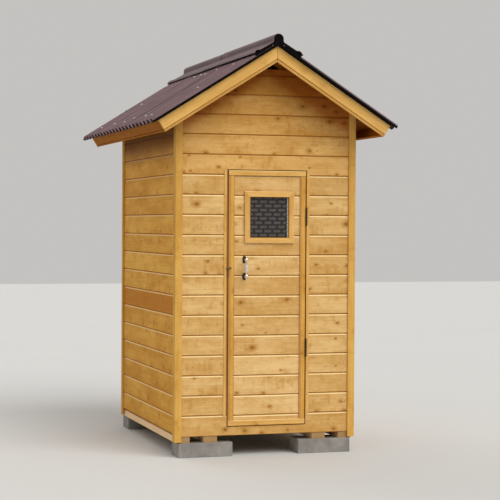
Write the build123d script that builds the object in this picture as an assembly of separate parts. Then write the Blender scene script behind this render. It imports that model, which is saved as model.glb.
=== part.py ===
from build123d import *
import os
from math import cos, radians, sin, sqrt, tan

# Outdoor shower: a timber cabin on concrete blocks with a corrugated gable roof.
# Millimetres, +X to the right along the front, +Y to the rear, +Z up.
# The origin is on the ground, under the middle of the roof.

# Blocks and floor
block_length = 390
block_width = 190
block_height = 100
block_inset = 33  # from the outside of a corner trim to the end of a block
block_reach = 9  # how far a front block stands out beyond the boards
rear_block_reach = 75
joist_width = 95
joist_height = 45
outer_joist = 597  # centre line of an outer joist, from the middle of the cabin
inner_joist = 399
joist_set_back = 5  # from the face of the end boards to a joist's end
floor_thickness = 20

# Walls
cabin_width = 1330  # over the corner trims
cabin_depth = 1700  # over the corner trims
board_height = 140
board_thickness = 18
side_wall_lift = 10  # the side boards start this far above the end boards
stud_size = 45
side_stud_count = 2
trim_leg = 52
trim_thickness = 12
trim_round = 7
trim_drop = 36  # how far a corner trim reaches below the boards

# Roof
roof_slope = 32.2
ridge_rise = 2703  # from the lowest board's edge to the top of the roof boards
slope_length = 990  # along the slope, from the ridge to the face of the fascia
front_overhang = 228  # from the face of the boards to the face of the bargeboard
rear_overhang = 374
roof_board_thickness = 20
rafter_depth = 70
rafter_width = 45
rafter_count = 4
bargeboard_depth = 90
bargeboard_thickness = 20
bargeboard_band = 15  # the moulded strip along the lower edge
bargeboard_groove = 6
gable_vent_drop = 138  # the gable boards stop this far below the ridge
birdsmouth = 18

# Corrugated sheets and ridge cap
wave_pitch = 110.5
wave_height = 36
sheet_thickness = 3
sheet_front_reach = 22  # past the face of the bargeboard
sheet_rear_reach = 131
sheet_eave_reach = 42  # past the face of the fascia
sheet_ridge_gap = 30
cap_thickness = 3
cap_dome_radius = 34
cap_dome_rise = 56
cap_shoulder = 16  # hollow curve between the dome and a flange
cap_flange = 184  # along the slope, from the ridge to the edge of the lip
cap_roll_place = 152  # along the slope, from the ridge to the middle of the roll
cap_roll_width = 40
cap_roll_height = 9
cap_edge_lift = 6  # how far the lips stand off the crests
cap_lap = 110
cap_count = 2
closure_thickness = 20
closure_recess = 4

# Doorway and door
door_left = -278  # from the middle of the cabin
door_width = 568
door_height = 1789
door_lift = 65  # from the lowest board's edge to the bottom of the door
door_gap = 6  # above and on the handle side
hinge_gap = 7.5
threshold_gap = 5
casing_left_width = 26
casing_right_width = 20.5
casing_proud = 4
stop_width = 12
stop_thickness = 18
stop_gap = 5
door_board_recess = 4  # behind the face of the wall boards
stile_width = 41
rail_width = 38
stile_thickness = 10
back_batten_width = 60
back_batten_thickness = 18

# Window in the door
window_size = 283
window_middle = 20  # to the right of the cabin's middle
window_drop = 327.5  # from the top of the door to the window's middle
window_trim_width = 40
window_trim_thickness = 16
pane_thickness = 4
pane_depth = 8  # from the front of the door boards to the pane

# Hinges, handle and latch
hinge_length = 120
upper_hinge_drop = 320  # from the top of the door to the hinge's middle
lower_hinge_rise = 542  # from the bottom of the door to the hinge's middle
knuckle_radius = 6
pin_radius = 3
pin_clearance = 0.05
pin_reach = 40
leaf_thickness = 2
leaf_depth = 34
knuckle_gap = 0.5
handle_place = -161  # from the middle of the cabin
handle_drop = 174  # from the lower edge of the window trim to the handle's middle
handle_spacing = 118
handle_stand_off = 55
grip_length = 150
grip_end_radius = 13
grip_neck_radius = 6
grip_barrel_radius = 13.5
grip_barrel_length = 46
grip_barrel_round = 2
handle_post_radius = 5
rosette_width = 25
rosette_length = 50
rosette_thickness = 5
latch_pivot_inset = 9  # from the edge of the door to the pivot
latch_reach = 26
latch_heel = 11
latch_bar_width = 8
latch_thickness = 3
latch_tail_offset = 12
latch_tail_length = 48
latch_tail_width = 5
latch_ring_radius = 6
latch_ring_bore = 3
latch_clearance = 5
pivot_radius = 2.5
pivot_head_radius = 5
pivot_head_thickness = 2

seat_gap = 0.3  # between curved or moving pieces and what carries them

# Levels, faces and edges that follow from the sizes above
slope_tangent = tan(radians(roof_slope))
slope_cosine = cos(radians(roof_slope))
slope_sine = sin(radians(roof_slope))
wall_base = block_height + joist_height
ridge_level = wall_base + ridge_rise
sheet_front = -(front_overhang + sheet_front_reach)
board_depth = cabin_depth - 2 * trim_thickness
sheet_rear = board_depth + rear_overhang + sheet_rear_reach
front_face = -(sheet_front + sheet_rear) / 2
rear_face = front_face + board_depth
side_face = cabin_width / 2 - trim_thickness
stud_face_x = side_face - board_thickness
stud_inner_x = stud_face_x - stud_size
frame_front = front_face + board_thickness
frame_rear = rear_face - board_thickness
barge_front = front_face - front_overhang
barge_rear = rear_face + rear_overhang
roof_front = barge_front + bargeboard_thickness
roof_rear = barge_rear - bargeboard_thickness
door_right = door_left + door_width
door_base = wall_base + door_lift
door_top = door_base + door_height
opening_left = door_left - door_gap
opening_right = door_right + hinge_gap
opening_base = door_base - threshold_gap
opening_top = door_top + door_gap
casing_base = wall_base + board_height
casing_left_edge = opening_left - casing_left_width
casing_right_edge = opening_right + casing_right_width
lintel_board = wall_base + board_height * int((opening_top - wall_base) // board_height)
door_board_face = front_face + door_board_recess
door_board_back = door_board_face + board_thickness
door_back = door_board_back + back_batten_thickness
stop_face = door_back + stop_gap
window_x = window_middle
window_z = door_top - window_drop
hinge_middles = (door_base + lower_hinge_rise, door_top - upper_hinge_drop)
hinge_x = door_right + hinge_gap / 2
hinge_y = door_board_face - stile_thickness - knuckle_radius - knuckle_gap
handle_z = window_z - window_size / 2 - window_trim_width - handle_drop
latch_x = door_left + latch_pivot_inset
latch_z = handle_z
stile_face = door_board_face - stile_thickness
latch_back = min(stile_face, front_face - casing_proud) - latch_clearance


def slab(x_pair, y_pair, z_pair):
    """Rectangular solid between pairs of planes."""
    corner = [min(pair) for pair in (x_pair, y_pair, z_pair)]
    size = [max(pair) - min(pair) for pair in (x_pair, y_pair, z_pair)]
    return Pos(*corner) * Box(*size, align=(Align.MIN, Align.MIN, Align.MIN))


def prism(outline, y_start, y_end):
    """Solid between two Y planes, from an outline of (x, z) points."""
    points = [(x, y_start, z) for x, z in outline]
    face = make_face(Polyline(*points, close=True))
    return extrude(face, y_end - y_start, dir=(0, 1, 0))


def on_slope(along, above, side=1):
    """(x, z) of a point at a distance down the slope and above the roof boards."""
    x = along * slope_cosine + above * slope_sine
    z = ridge_level - along * slope_sine + above * slope_cosine
    return side * x, z


def slope_line(above, x):
    """Height at x of the line that runs parallel to the slope, above the roof boards."""
    return ridge_level + above / slope_cosine - abs(x) * slope_tangent


def roof_timber(side, end, top, bottom, y_start, y_end):
    """Board along one slope, cut plumb at the ridge and square at the eave."""
    outline = [
        (0, slope_line(top, 0)),
        on_slope(end, top, side),
        on_slope(end, bottom, side),
        (0, slope_line(bottom, 0)),
    ]
    return prism(outline, y_start, y_end)


def blocks():
    """Four concrete blocks, one under each corner."""
    outer = cabin_width / 2 - block_inset
    solids = []
    for side in (-1, 1):
        x_pair = (side * outer, side * (outer - block_length))
        front = front_face - block_reach
        rear = rear_face + rear_block_reach
        solids.append(slab(x_pair, (front, front + block_width), (0, block_height)))
        solids.append(slab(x_pair, (rear - block_width, rear), (0, block_height)))
    return solids


def joists():
    """Four flat joists from front to rear, resting on the blocks."""
    solids = []
    for middle in (-outer_joist, -inner_joist, inner_joist, outer_joist):
        x_pair = (middle - joist_width / 2, middle + joist_width / 2)
        y_pair = (front_face + joist_set_back, rear_face - joist_set_back)
        solids.append(slab(x_pair, y_pair, (block_height, wall_base)))
    return solids


def floor_boards():
    """Floor on the joists, inside the bottom plates."""
    y_pair = (frame_front + stud_size, frame_rear - stud_size)
    return slab((-stud_inner_x, stud_inner_x), y_pair, (wall_base, wall_base + floor_thickness))


plate_top = slope_line(-roof_board_thickness - rafter_depth, stud_face_x) + birdsmouth
plate_base = plate_top - stud_size


def side_plates(z_pair):
    """Left and right plates, the whole depth of the frame."""
    y_pair = (frame_front, frame_rear)
    return [slab((side * stud_face_x, side * stud_inner_x), y_pair, z_pair) for side in (-1, 1)]


def end_plates(z_pair):
    """Front and rear plates, between the side plates."""
    x_pair = (-stud_inner_x, stud_inner_x)
    return [
        slab(x_pair, (frame_front, frame_front + stud_size), z_pair),
        slab(x_pair, (frame_rear - stud_size, frame_rear), z_pair),
    ]


def posts():
    """Corner posts, side studs, one rear stud and the two door posts."""
    z_pair = (wall_base + stud_size, plate_base)
    front_pair = (frame_front, frame_front + stud_size)
    rear_pair = (frame_rear - stud_size, frame_rear)
    side_run = frame_rear - frame_front - stud_size
    solids = [slab((-stud_size / 2, stud_size / 2), rear_pair, z_pair)]
    for side in (-1, 1):
        x_pair = (side * stud_face_x, side * stud_inner_x)
        for step in range(side_stud_count + 2):
            start = frame_front + side_run * step / (side_stud_count + 1)
            solids.append(slab(x_pair, (start, start + stud_size), z_pair))
    solids.append(slab((opening_left - stud_size, opening_left), front_pair, z_pair))
    solids.append(slab((opening_right, opening_right + stud_size), front_pair, z_pair))
    return solids


def door_header():
    """Short beam between the door posts, over the door."""
    y_pair = (frame_front, frame_front + stud_size)
    return slab((opening_left, opening_right), y_pair, (opening_top, opening_top + stud_size))


def threshold():
    """Board on the front bottom plate, under the door."""
    y_pair = (frame_front, frame_front + stud_size)
    return slab((opening_left, opening_right), y_pair, (wall_base + stud_size, opening_base))


def door_stop():
    """Batten round three sides of the opening, behind the door."""
    y_pair = (stop_face, stop_face + stop_thickness)
    whole = slab((opening_left, opening_right), y_pair, (opening_base, opening_top))
    inner_x = (opening_left + stop_width, opening_right - stop_width)
    return whole - slab(inner_x, y_pair, (opening_base, opening_top - stop_width))


def rafter_starts():
    """Front faces of the rafters, evenly spaced from the front frame to the rear one."""
    run = frame_rear - frame_front - rafter_width
    return [frame_front + run * step / (rafter_count - 1) for step in range(rafter_count)]


def rafter_bars(side):
    """Rafters of one slope before their seats are cut; the end pairs stop at the studs' faces."""
    end = slope_length - bargeboard_thickness
    top = -roof_board_thickness
    bottom = top - rafter_depth
    outside = slab((side * stud_face_x, side * cabin_width), (frame_front, frame_rear),
                   (wall_base, ridge_level))
    starts = rafter_starts()
    bars = []
    for y in starts:
        bar = roof_timber(side, end, top, bottom, y, y + rafter_width)
        bars.append(bar - outside if y in (starts[0], starts[-1]) else bar)
    return bars


def rafters(side):
    """Rafters of one slope, seated on the side plate by a birdsmouth."""
    plate = slab((side * stud_face_x, side * stud_inner_x), (frame_front, frame_rear),
                 (plate_base, plate_top))
    return [bar - plate for bar in rafter_bars(side)]


def side_wall(side):
    """Boards of one side wall, bevelled under the roof boards and notched for the rafters."""
    under = -roof_board_thickness
    outline = [
        (side * side_face, wall_base + side_wall_lift),
        (side * stud_face_x, wall_base + side_wall_lift),
        (side * stud_face_x, slope_line(under, stud_face_x)),
        (side * side_face, slope_line(under, side_face)),
    ]
    wall = prism(outline, frame_front, frame_rear)
    for bar in rafter_bars(side):
        wall -= bar
    return wall


def gable_outline(base):
    """Wall end above a level, with a flat top that leaves a vent under the ridge."""
    under = -roof_board_thickness
    vent_level = ridge_level - gable_vent_drop
    vent_half = (slope_line(under, 0) - vent_level) / slope_tangent
    eave = slope_line(under, side_face)
    return [
        (-side_face, base),
        (side_face, base),
        (side_face, eave),
        (vent_half, vent_level),
        (-vent_half, vent_level),
        (-side_face, eave),
    ]


def rear_wall():
    """Boards of the rear wall with its gable."""
    return prism(gable_outline(wall_base), frame_rear, rear_face)


def front_gable():
    """Boards over the door, the lowest of them notched over the casing."""
    whole = prism(gable_outline(lintel_board), front_face, frame_front)
    notch = slab((casing_left_edge, casing_right_edge), (front_face, frame_front),
                 (lintel_board, opening_top))
    return whole - notch


def front_wall(inner_edge, side):
    """Boards of the front wall beside the casing."""
    return slab((inner_edge, side * side_face), (front_face, frame_front),
                (casing_base, lintel_board))


def front_sill_board():
    """Lowest front board, notched for the foot of the door."""
    whole = slab((-side_face, side_face), (front_face, frame_front), (wall_base, casing_base))
    notch = slab((opening_left, opening_right), (front_face, frame_front),
                 (opening_base, casing_base))
    return whole - notch


def door_casings():
    """Narrow upright strips in the wall on both sides of the door."""
    y_pair = (front_face - casing_proud, frame_front)
    z_pair = (casing_base, opening_top)
    return [
        slab((casing_left_edge, opening_left), y_pair, z_pair),
        slab((opening_right, casing_right_edge), y_pair, z_pair),
    ]


def corner_trim(side, end):
    """Angle moulding over one corner, rounded outside and cut under the roof boards."""
    outer_x = side * cabin_width / 2
    outer_y = rear_face + trim_thickness if end > 0 else front_face - trim_thickness
    low = wall_base - trim_drop
    high = slope_line(0, side_face)
    x_pair = (outer_x, outer_x - side * trim_leg)
    y_pair = (outer_y, outer_y - end * trim_leg)
    trim = slab(x_pair, y_pair, (low, high))
    outer_edge = trim.edges().filter_by(Axis.Z).sort_by_distance((outer_x, outer_y, low))[0]
    trim = fillet(outer_edge, trim_round)
    inner_x = outer_x - side * trim_thickness
    inner_y = outer_y - end * trim_thickness
    trim -= slab((inner_x, inner_x - side * trim_leg), (inner_y, inner_y - end * trim_leg),
                 (low, high))
    under = -roof_board_thickness
    inner_end = abs(outer_x) - trim_leg
    cut = [
        (side * inner_end, slope_line(under, inner_end)),
        (outer_x, slope_line(under, outer_x)),
        (outer_x, ridge_level),
        (side * inner_end, ridge_level),
    ]
    return trim - prism(cut, min(y_pair), max(y_pair))


def roof_boards(side):
    """Close boarding of one slope, between the bargeboards."""
    end = slope_length - bargeboard_thickness
    return roof_timber(side, end, 0, -roof_board_thickness, roof_front, roof_rear)


def bargeboard(side, outer, inner):
    """Gable board with a groove above its lower band, on the outer face."""
    board = roof_timber(side, slope_length, 0, -bargeboard_depth, outer, inner)
    level = bargeboard_band - bargeboard_depth
    half = bargeboard_groove / 2
    toward_inner = bargeboard_groove if inner > outer else -bargeboard_groove
    groove = roof_timber(side, slope_length, level + half, level - half, outer,
                         outer + toward_inner)
    return board - groove


def fascia(side):
    """Eave board square to the slope, with the bargeboards' groove."""
    inner = slope_length - bargeboard_thickness
    level = bargeboard_band - bargeboard_depth
    half = bargeboard_groove / 2
    board = [
        on_slope(inner, 0, side),
        on_slope(slope_length, 0, side),
        on_slope(slope_length, -bargeboard_depth, side),
        on_slope(inner, -bargeboard_depth, side),
    ]
    groove = [
        on_slope(slope_length - bargeboard_groove, level + half, side),
        on_slope(slope_length, level + half, side),
        on_slope(slope_length, level - half, side),
        on_slope(slope_length - bargeboard_groove, level - half, side),
    ]
    return prism(board, roof_front, roof_rear) - prism(groove, roof_front, roof_rear)


def wave_section():
    """Section across the corrugations: tangent arcs, crest and trough in turn."""
    length = sheet_rear - sheet_front
    count = max(1, round(length / wave_pitch))
    chord = length / count / 2
    sagitta = (wave_height - sheet_thickness) / 2
    radius = (chord * chord / 4 + sagitta * sagitta) / (2 * sagitta)
    lean = sqrt(radius * radius - chord * chord / 4)
    middle = wave_height / 2 + seat_gap
    half = sheet_thickness / 2

    def side_line(offset):
        """Arcs at an offset above the sheet's middle line."""
        arcs = []
        for step in range(2 * count):
            crest = 1 if step % 2 == 0 else -1
            centre = (chord * (step + 0.5), middle - crest * lean)
            reach = radius + crest * offset
            start_x = centre[0] - chord / 2 * reach / radius
            end_x = centre[0] + chord / 2 * reach / radius
            level = centre[1] + crest * lean * reach / radius
            top = (centre[0], centre[1] + crest * reach)
            arcs.append(ThreePointArc((start_x, level), top, (end_x, level)))
        return arcs

    upper = side_line(half)
    lower = side_line(-half)
    ends = [
        Line(upper[0] @ 0, lower[0] @ 0),
        Line(upper[-1] @ 1, lower[-1] @ 1),
    ]
    return make_face(upper + lower + ends)


def roof_sheet(side):
    """Corrugated sheet of one slope, its waves running down to the eave."""
    start_x, start_z = on_slope(sheet_ridge_gap, 0)
    down = Vector(slope_cosine, 0, -slope_sine)
    origin = Vector(start_x, front_face + sheet_front, start_z)
    place = Plane(origin=origin, x_dir=(0, 1, 0), z_dir=down)
    run = slope_length + sheet_eave_reach - sheet_ridge_gap
    sheet = extrude(place * wave_section(), run, dir=down)
    return sheet if side > 0 else mirror(sheet, Plane.YZ)


cap_seat = wave_height + 2 * seat_gap
cap_lapped = cap_thickness + seat_gap
dome_level = slope_line(cap_seat + cap_thickness, cap_dome_radius) + cap_dome_rise - cap_dome_radius
roll_radius = (cap_roll_width**2 / 4 + cap_roll_height**2) / (2 * cap_roll_height)
roll_level = cap_seat + cap_roll_height - roll_radius


def flange_point(along, height, side):
    """(x, z) of a point on a flange, which rises off the sheets towards its lip."""
    rise = cap_edge_lift * (along - cap_dome_radius) / (cap_flange - cap_dome_radius)
    return on_slope(along, height + rise, side)


def cap_line(side, offset, y):
    """Half of the cap's line from the dome's spring to the lip, at an offset from its underside."""
    above = cap_seat + offset
    dome = cap_dome_radius - cap_thickness + offset
    roll = roll_radius + offset
    half = sqrt(roll**2 - (above - roll_level) ** 2)

    def at(along, height):
        x, z = flange_point(along, height, side)
        return (x, y, z)

    neck = [(side * dome, y, dome_level), (side * dome, y, slope_line(above, dome))]
    start = at(cap_roll_place - half, above)
    end = at(cap_roll_place + half, above)
    return [
        Polyline(*neck, start),
        ThreePointArc(start, at(cap_roll_place, roll_level + roll), end),
        Line(end, at(cap_flange, above)),
    ]


def cap_section(raise_by, y):
    """Section of the ridge cap, let out evenly where it laps over its neighbour."""
    edges = []
    for offset in (raise_by, raise_by + cap_thickness):
        dome = cap_dome_radius - cap_thickness + offset
        crown = (0, y, dome_level + dome)
        edges.append(ThreePointArc((-dome, y, dome_level), crown, (dome, y, dome_level)))
        edges += cap_line(-1, offset, y) + cap_line(1, offset, y)
    for side in (-1, 1):
        low_x, low_z = flange_point(cap_flange, cap_seat + raise_by, side)
        high_x, high_z = flange_point(cap_flange, cap_seat + raise_by + cap_thickness, side)
        edges.append(Line((low_x, y, low_z), (high_x, y, high_z)))
    face = make_face(edges)
    hollow_curves = (
        (raise_by, cap_shoulder + cap_thickness),
        (raise_by + cap_thickness, cap_shoulder),
    )
    for offset, radius in hollow_curves:
        dome = cap_dome_radius - cap_thickness + offset
        level = slope_line(cap_seat + offset, dome)
        for side in (-1, 1):
            corner = face.vertices().sort_by_distance((side * dome, y, level))[0]
            face = fillet(corner, radius)
    return face


def cap_spans():
    """Start, end and raise of the cap's lengths: from the front, every other one laps over."""
    start = front_face + sheet_front
    run = sheet_rear - sheet_front
    length = (run + cap_lap * (cap_count - 1)) / cap_count
    step = length - cap_lap
    return [
        (start + step * place, start + step * place + length, cap_lapped * ((place + 1) % 2))
        for place in range(cap_count)
    ]


def ridge_cap():
    """Lengths of ridge cap: a dome, two flanges and a roll along each edge."""
    return [
        extrude(cap_section(raise_by, y_start), y_end - y_start, dir=(0, 1, 0))
        for y_start, y_end, raise_by in cap_spans()
    ]


def ridge_closures():
    """Fillers that close both ends of the cap, between the sheets and the dome."""
    foot = sheet_ridge_gap - seat_gap
    first, last = cap_spans()[0], cap_spans()[-1]
    places = (
        (first[0] + closure_recess, first[2]),
        (last[1] - closure_recess - closure_thickness, last[2]),
    )
    solids = []
    for y, raise_by in places:
        dome = cap_dome_radius - cap_thickness + raise_by - seat_gap
        top = cap_seat - seat_gap
        edges = [ThreePointArc((-dome, y, dome_level), (0, y, dome_level + dome), (dome, y, dome_level))]
        for side in (-1, 1):
            outline = [(0, slope_line(seat_gap, 0)), on_slope(foot, seat_gap, side),
                       on_slope(foot, top, side), (side * dome, slope_line(top, dome)),
                       (side * dome, dome_level)]
            edges.append(Polyline(*[(x, y, z) for x, z in outline]))
        solids.append(extrude(make_face(edges), closure_thickness, dir=(0, 1, 0)))
    return solids


def window_opening(y_start, y_end, size=window_size):
    """Square block through the window."""
    half = size / 2
    return slab((window_x - half, window_x + half), (y_start, y_end), (window_z - half, window_z + half))


def door_panel():
    """Boards of the door, cut through for the window."""
    y_pair = (door_board_face, door_board_back)
    panel = slab((door_left, door_right), y_pair, (door_base, door_top))
    return panel - window_opening(*y_pair)


def door_stiles():
    """Upright strips along both edges of the door, between the rails."""
    y_pair = (stile_face, door_board_face)
    z_pair = (door_base + rail_width, door_top - rail_width)
    return [
        slab((door_left, door_left + stile_width), y_pair, z_pair),
        slab((door_right - stile_width, door_right), y_pair, z_pair),
    ]


def door_rails():
    """Level strips across the door, at its top and its bottom."""
    x_pair = (door_left, door_right)
    y_pair = (stile_face, door_board_face)
    return [
        slab(x_pair, y_pair, (door_base, door_base + rail_width)),
        slab(x_pair, y_pair, (door_top - rail_width, door_top)),
    ]


def door_back_battens():
    """Upright battens that hold the door boards together on the inside."""
    y_pair = (door_board_back, door_back)
    z_pair = (door_base, door_top)
    return [
        slab((door_left, door_left + back_batten_width), y_pair, z_pair),
        slab((door_right - back_batten_width, door_right), y_pair, z_pair),
    ]


def window_trim():
    """Flat frame round the window, on the face of the door boards."""
    front = door_board_face - window_trim_thickness
    outer = window_size + 2 * window_trim_width
    return window_opening(front, door_board_face, outer) - window_opening(front, door_board_face)


def window_pane():
    """Pane set back in the window."""
    front = door_board_face + pane_depth
    return window_opening(front, front + pane_thickness)


def knuckle(base, length):
    """Hinge barrel on the door's axis."""
    barrel = Cylinder(knuckle_radius, length, align=(Align.CENTER, Align.CENTER, Align.MIN))
    return Pos(hinge_x, hinge_y, base) * barrel


def frame_hinges():
    """Lower halves of the hinges, with their pins, on the door post."""
    half = hinge_length / 2
    solids = []
    for middle in hinge_middles:
        barrel = knuckle(middle - half, half)
        pin = Cylinder(pin_radius, half + pin_reach, align=(Align.CENTER, Align.CENTER, Align.MIN))
        leaf = slab((opening_right - leaf_thickness, opening_right),
                    (hinge_y, hinge_y + leaf_depth), (middle - half, middle))
        foot = Pos(hinge_x, hinge_y, middle - half)
        solids.append(barrel + foot * pin + foot * Sphere(knuckle_radius) + leaf)
    return solids


def door_hinges():
    """Upper halves of the hinges, bored for the pins, on the door's edge."""
    half = hinge_length / 2
    solids = []
    for middle in hinge_middles:
        base = middle + knuckle_gap
        barrel = knuckle(base, half - knuckle_gap)
        barrel += Pos(hinge_x, hinge_y, middle + half) * Sphere(knuckle_radius)
        leaf = slab((door_right, door_right + leaf_thickness), (hinge_y, hinge_y + leaf_depth),
                    (base, middle + half))
        bore = Cylinder(pin_radius + pin_clearance, pin_reach,
                        align=(Align.CENTER, Align.CENTER, Align.MIN))
        solids.append(barrel + leaf - Pos(hinge_x, hinge_y, base) * bore)
    return solids


def handle_grip():
    """Turned grip with round ends, necks and a barrel, on two posts."""
    end = grip_length / 2
    ball = handle_spacing / 2
    neck = ball - (end - ball)
    half_barrel = grip_barrel_length / 2
    outline = [Line((0, -end), (0, end))]
    for side in (-1, 1):
        outline.append(ThreePointArc((0, side * end), (grip_end_radius, side * ball),
                                     (grip_neck_radius, side * neck)))
        outline.append(Polyline((grip_neck_radius, side * neck),
                                (grip_neck_radius, side * half_barrel),
                                (grip_barrel_radius, side * half_barrel)))
    outline.append(Line((grip_barrel_radius, -half_barrel), (grip_barrel_radius, half_barrel)))
    face = make_face(outline)
    rims = face.vertices().group_by(Axis.X)[-1]
    grip = revolve(Plane.XZ * fillet(rims, grip_barrel_round), Axis.Z)
    axis_y = door_board_face - handle_stand_off
    grip = Pos(handle_place, axis_y, handle_z) * grip
    post_length = handle_stand_off - rosette_thickness
    for side in (-1, 1):
        post = Cylinder(handle_post_radius, post_length, align=(Align.CENTER, Align.CENTER, Align.MIN))
        grip += Pos(handle_place, axis_y, handle_z + side * ball) * Rot(-90, 0, 0) * post
    return grip


def handle_rosettes():
    """Oval plates under the handle's posts."""
    solids = []
    for side in (-1, 1):
        plate = extrude(SlotOverall(rosette_length, rosette_width), rosette_thickness)
        place = Pos(handle_place, door_board_face, handle_z + side * handle_spacing / 2)
        solids.append(place * Rot(90, 0, 0) * Rot(0, 0, 90) * plate)
    return solids


def latch_screw():
    """Screw that the turn latch pivots on."""
    shank_length = stile_face - latch_back + latch_thickness + seat_gap
    shank = Cylinder(pivot_radius, shank_length, align=(Align.CENTER, Align.CENTER, Align.MIN))
    head = Cylinder(pivot_head_radius, pivot_head_thickness,
                    align=(Align.CENTER, Align.CENTER, Align.MIN))
    screw = shank + Pos(0, 0, shank_length) * head
    return Pos(latch_x, stile_face, latch_z) * Rot(90, 0, 0) * screw


def turn_latch():
    """Flat bar across the gap with a hanging tail that ends in a ring."""
    y_pair = (latch_back - latch_thickness, latch_back)
    half = latch_bar_width / 2
    tail_x = latch_x - latch_tail_offset
    tail_end = latch_z - half - latch_tail_length
    bar = slab((latch_x - latch_reach, latch_x + latch_heel), y_pair,
               (latch_z - half, latch_z + half))
    tail = slab((tail_x - latch_tail_width / 2, tail_x + latch_tail_width / 2), y_pair,
                (tail_end, latch_z))
    ring_place = Pos(tail_x, latch_back, tail_end) * Rot(90, 0, 0)
    low = (Align.CENTER, Align.CENTER, Align.MIN)
    latch = bar + tail + ring_place * Cylinder(latch_ring_radius, latch_thickness, align=low)
    latch -= ring_place * Cylinder(latch_ring_bore, latch_thickness, align=low)
    pivot = Pos(latch_x, latch_back, latch_z) * Rot(90, 0, 0)
    return latch - pivot * Cylinder(pivot_radius + pin_clearance, latch_thickness, align=low)


bottom_pair = (wall_base, wall_base + stud_size)
top_pair = (plate_base, plate_top)

nodes = {
    "blocks": blocks(),
    "floor_joists": joists(),
    "floor_boards": floor_boards(),
    "bottom_plates_side": side_plates(bottom_pair),
    "bottom_plates_end": end_plates(bottom_pair),
    "wall_posts": posts(),
    "top_plates_side": side_plates(top_pair),
    "top_plates_end": end_plates(top_pair),
    "door_header": door_header(),
    "threshold": threshold(),
    "door_stop": door_stop(),
    "left_wall": side_wall(-1),
    "right_wall": side_wall(1),
    "rear_wall": rear_wall(),
    "front_wall_left": front_wall(casing_left_edge, -1),
    "front_wall_right": front_wall(casing_right_edge, 1),
    "front_sill_board": front_sill_board(),
    "front_gable": front_gable(),
    "door_casings": door_casings(),
    "corner_trim_front_left": corner_trim(-1, -1),
    "corner_trim_front_right": corner_trim(1, -1),
    "corner_trim_rear_left": corner_trim(-1, 1),
    "corner_trim_rear_right": corner_trim(1, 1),
    "rafters_left": rafters(-1),
    "rafters_right": rafters(1),
    "roof_boards_left": roof_boards(-1),
    "roof_boards_right": roof_boards(1),
    "bargeboard_front_left": bargeboard(-1, barge_front, roof_front),
    "bargeboard_front_right": bargeboard(1, barge_front, roof_front),
    "bargeboard_rear_left": bargeboard(-1, barge_rear, roof_rear),
    "bargeboard_rear_right": bargeboard(1, barge_rear, roof_rear),
    "fascia_left": fascia(-1),
    "fascia_right": fascia(1),
    "roof_sheet_left": roof_sheet(-1),
    "roof_sheet_right": roof_sheet(1),
    "ridge_cap": ridge_cap(),
    "ridge_closures": ridge_closures(),
    "frame_hinges": frame_hinges(),
    "door_panel": door_panel(),
    "door_stiles": door_stiles(),
    "door_rails": door_rails(),
    "door_back_battens": door_back_battens(),
    "window_trim": window_trim(),
    "window_pane": window_pane(),
    "door_hinges": door_hinges(),
    "handle_grip": handle_grip(),
    "handle_rosettes": handle_rosettes(),
    "latch_screw": latch_screw(),
    "turn_latch": turn_latch(),
}

os.makedirs("parts", exist_ok=True)
for name, shape in nodes.items():
    solid = Compound(shape) if isinstance(shape, list) else shape
    export_step(solid, f"parts/{name}.step")
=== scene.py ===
import bmesh
import bpy
import random
from math import cos, pi, radians, sin, tan
from mathutils import Matrix, Vector


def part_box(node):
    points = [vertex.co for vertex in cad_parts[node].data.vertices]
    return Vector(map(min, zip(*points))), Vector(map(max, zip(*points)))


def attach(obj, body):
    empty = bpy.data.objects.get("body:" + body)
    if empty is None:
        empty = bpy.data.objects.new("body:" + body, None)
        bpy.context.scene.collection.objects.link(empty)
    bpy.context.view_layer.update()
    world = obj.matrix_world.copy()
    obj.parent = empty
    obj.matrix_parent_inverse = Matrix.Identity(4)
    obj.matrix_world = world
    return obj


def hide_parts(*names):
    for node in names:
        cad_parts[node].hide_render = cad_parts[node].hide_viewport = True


bl_info = {
    "name": "Outdoor Shower Cabin",
    "version": (1, 0, 0),
    "blender": (4, 5, 0),
    "location": "3D View > Sidebar > Shower Cabin",
    "description": "Dresses a timber outdoor shower cabin with boards, trims, roof laps and finishes",
    "category": "Add Mesh",
}

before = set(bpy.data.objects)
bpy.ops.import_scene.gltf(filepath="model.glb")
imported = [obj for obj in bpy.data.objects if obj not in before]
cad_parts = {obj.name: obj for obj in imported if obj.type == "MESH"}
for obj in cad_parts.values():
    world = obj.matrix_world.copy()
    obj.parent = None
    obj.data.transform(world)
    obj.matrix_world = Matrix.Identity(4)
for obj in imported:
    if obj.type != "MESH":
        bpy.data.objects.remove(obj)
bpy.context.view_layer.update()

# Places that the boards share with the solids, in metres
ROOF_SLOPE = radians(32.2)
COURSE_BASE = 0.145  # lower edge of the lowest board
RIDGE_LEVEL = 2.848  # top of the roof boards at the ridge
ROOF_BOARD = 0.02  # thickness of the roof boards
FRONT_LOW, FRONT_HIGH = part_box("front_wall_left")
SIDE_LOW, SIDE_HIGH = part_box("left_wall")
REAR_LOW, REAR_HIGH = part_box("rear_wall")
GABLE_LOW, GABLE_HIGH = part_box("front_gable")
SILL_LOW, SILL_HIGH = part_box("front_sill_board")
CASING_LOW, CASING_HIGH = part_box("door_casings")
DOOR_LOW, DOOR_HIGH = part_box("door_panel")
STILE_LOW, STILE_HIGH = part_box("door_stiles")
RAIL_LOW, RAIL_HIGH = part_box("door_rails")
TRIM_LOW, TRIM_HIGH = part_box("window_trim")
PANE_LOW, PANE_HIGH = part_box("window_pane")
FLOOR_LOW, FLOOR_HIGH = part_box("floor_boards")
SOFFIT_LOW, SOFFIT_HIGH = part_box("roof_boards_left")
SHEET_LOW, SHEET_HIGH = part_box("roof_sheet_left")
GRIP_LOW, GRIP_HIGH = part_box("handle_grip")
OPENING_LEFT = -0.284
OPENING_RIGHT = 0.2975
STILE_WIDTH = 0.041
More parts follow.
